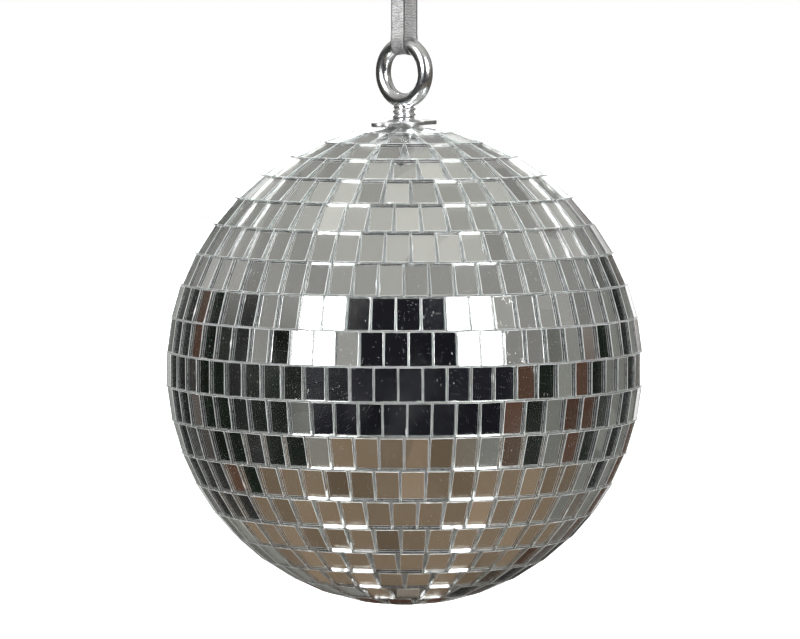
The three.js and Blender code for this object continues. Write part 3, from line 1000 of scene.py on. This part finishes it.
def ribbon_path():
    """Middle line of the ribbon, from the end under the lap, down in front, round the ring and back up to
    the lap. Each point comes with the way out of its face and with how much it bows over a bar there."""
    bend = RIBBON_BEND
    line = []

    def arc(height, start, end, grow_from=None):
        length = abs(math.radians(end - start)) * bend
        steps = max(2, round(length / RIBBON_STEP))
        for i in range(steps):
            angle = start + (end - start) * i / steps
            radius = bend
            if grow_from is not None:
                rise = min(1, max(0, (angle - grow_from) / LAP_RISES_OVER))
                radius += LAP_RISE * rise * rise * (3 - 2 * rise)
            a = math.radians(angle)
            out = Vector((0, math.cos(a), math.sin(a)))
            bow = abs(math.sin(a))
            point = Vector((0, out.y * radius, height + out.z * radius))
            line.append((point, out, bow))

    def straight(side, start, end):
        steps = round(abs(start - end) / RIBBON_STEP)
        for i in range(steps):
            z = start + (end - start) * i / steps
            line.append((Vector((0, side * (bend - drawn_in(z)), z)), Vector((0, side, 0)), 0.0))

    arc(HOOK_BAR_Z, LAP_UNDER_FROM, 180)
    straight(-1, HOOK_BAR_Z, RING_BAR_Z)
    arc(RING_BAR_Z, 180, 360)
    straight(1, RING_BAR_Z, HOOK_BAR_Z)
    arc(HOOK_BAR_Z, 0, LAP_ENDS_AT, grow_from=LAP_RISES_FROM)
    return line


def rib_wave(x, travelled):
    """Height of the ribs at a place, from -1 in a groove to 1 on a crest. Their lines waver and curve."""
    waver = RIB_WAVER * noise.noise(Vector((x * 700, travelled * 300, 3.1)))
    curve = RIB_CURVE * math.sin(7 * x / (RIBBON_WIDTH / 2))
    return math.cos(math.tau * (travelled + waver + curve) / RIB_PITCH)


def ribbon_surface(line):
    """Loops of points round the ribbon along the line, and the ribs' height of 0 to 1 at each point."""
    half = RIBBON_WIDTH / 2
    thick = RIBBON_THICKNESS / 2
    vertices, ribs = [], []
    travelled = 0.0
    for i, (point, out, bow) in enumerate(line):
        if i:
            travelled += (point - line[i - 1][0]).length
        scallop = 0.5 + 0.5 * math.cos(math.tau * travelled / PICOT_PITCH)
        edge_at = half + RIBBON_OVERHANG - PICOT_DEPTH * (1 - scallop)
        end_fade = min(1, min(i, len(line) - 1 - i) / 3)
        for side in (1, -1):
            for j in range(RIBBON_ACROSS):
                x = side * edge_at * (1 - 2 * j / (RIBBON_ACROSS - 1))
                unit = x / half
                rib = rib_wave(x, travelled)
                height = thick * (0.66 + 0.34 * rib) * end_fade
                height *= 1 - 0.4 * min(1, max(0, abs(unit) - SELVEDGE_FROM) / (1 - SELVEDGE_FROM))
                sink = BAR_BOW * bow * (1 - unit * unit)
                level = -sink + side * max(height, THINNEST)
                vertices.append(point + out * level + Vector((x, 0, 0)))
                ribs.append(0.5 + 0.5 * rib)
    return vertices, ribs


def ribbon(face_material, edge_material):
    """The knitted loop with its dark selvedges, and even points along its middle line."""
    line = ribbon_path()
    vertices, ribs = ribbon_surface(line)
    per_loop = 2 * RIBBON_ACROSS
    faces = ring_faces(len(line), per_loop)
    edge_places = (0, RIBBON_ACROSS - 2, RIBBON_ACROSS - 1)
    slots = [1 if face[0] % RIBBON_ACROSS in edge_places else 0 for face in faces]
    last = (len(line) - 1) * per_loop
    faces.append(tuple(range(per_loop)))
    faces.append(tuple(range(last, last + per_loop)))
    slots += [1, 1]
    piece = piece_from("ribbon", vertices, faces, [face_material, edge_material], slots)
    recalculate(piece)
    smooth_by_angle(piece, 60)
    piece.data.attributes.new(RIB_ATTRIBUTE, "FLOAT", "POINT").data.foreach_set("value", ribs)
    nodes = ("ribbon_top_bight", "ribbon_front_strand", "ribbon_back_strand", "ribbon_bottom_bight")
    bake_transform(piece)
    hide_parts(*nodes)
    return piece, even_points([point for point, _, _ in line], PATH_POINTS)


def even_points(line, count):
    """Points at even distances along a line."""
    lengths = [0.0]
    for a, b in zip(line, line[1:]):
        lengths.append(lengths[-1] + (b - a).length)
    points, at = [], 0
    for i in range(count):
        wanted = lengths[-1] * i / (count - 1)
        while at < len(line) - 2 and lengths[at + 1] < wanted:
            at += 1
        share = (wanted - lengths[at]) / (lengths[at + 1] - lengths[at])
        points.append(tuple(line[at].lerp(line[at + 1], share)))
    return points


# ---------- Build ----------

def assign(node, material):
    """Gives a carried-over CAD node its procedural material."""
    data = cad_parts[node].data
    data.materials.clear()
    data.materials.append(material)


make_camera()

zinc_material = zinc()
hook = ceiling_hook(zinc_material)
band, band_path = ribbon(ribbon_metallic(), ribbon_edge())

make_room()
make_floor()
scene.view_settings.view_transform = "Standard"
scene.cycles.glossy_bounces = 10
scene.cycles.transmission_bounces = 14
scene.cycles.max_bounces = 18

tile_materials = [tile_glass(), tile_edge(), tile_silver(), tile_rim()]
for row_number, row_node in enumerate(ROW_NODES, start=1):
    row_tiles(row_number, row_node, tile_materials)
polar_mirror(tile_materials)
glue_bed(glue())

plastic_material = moulded_plastic()
assign("core_upper_half", plastic_material)
assign("core_lower_half", plastic_material)

eye(chrome("chrome", (244, 245, 247), 0.2, 0.28))
strap(chrome("dull_chrome", (214, 215, 216), 0.3, 0.42))
for inner_node in ("inner_crossbar", "spring_washer", "lock_nut"):
    assign(inner_node, zinc_material)
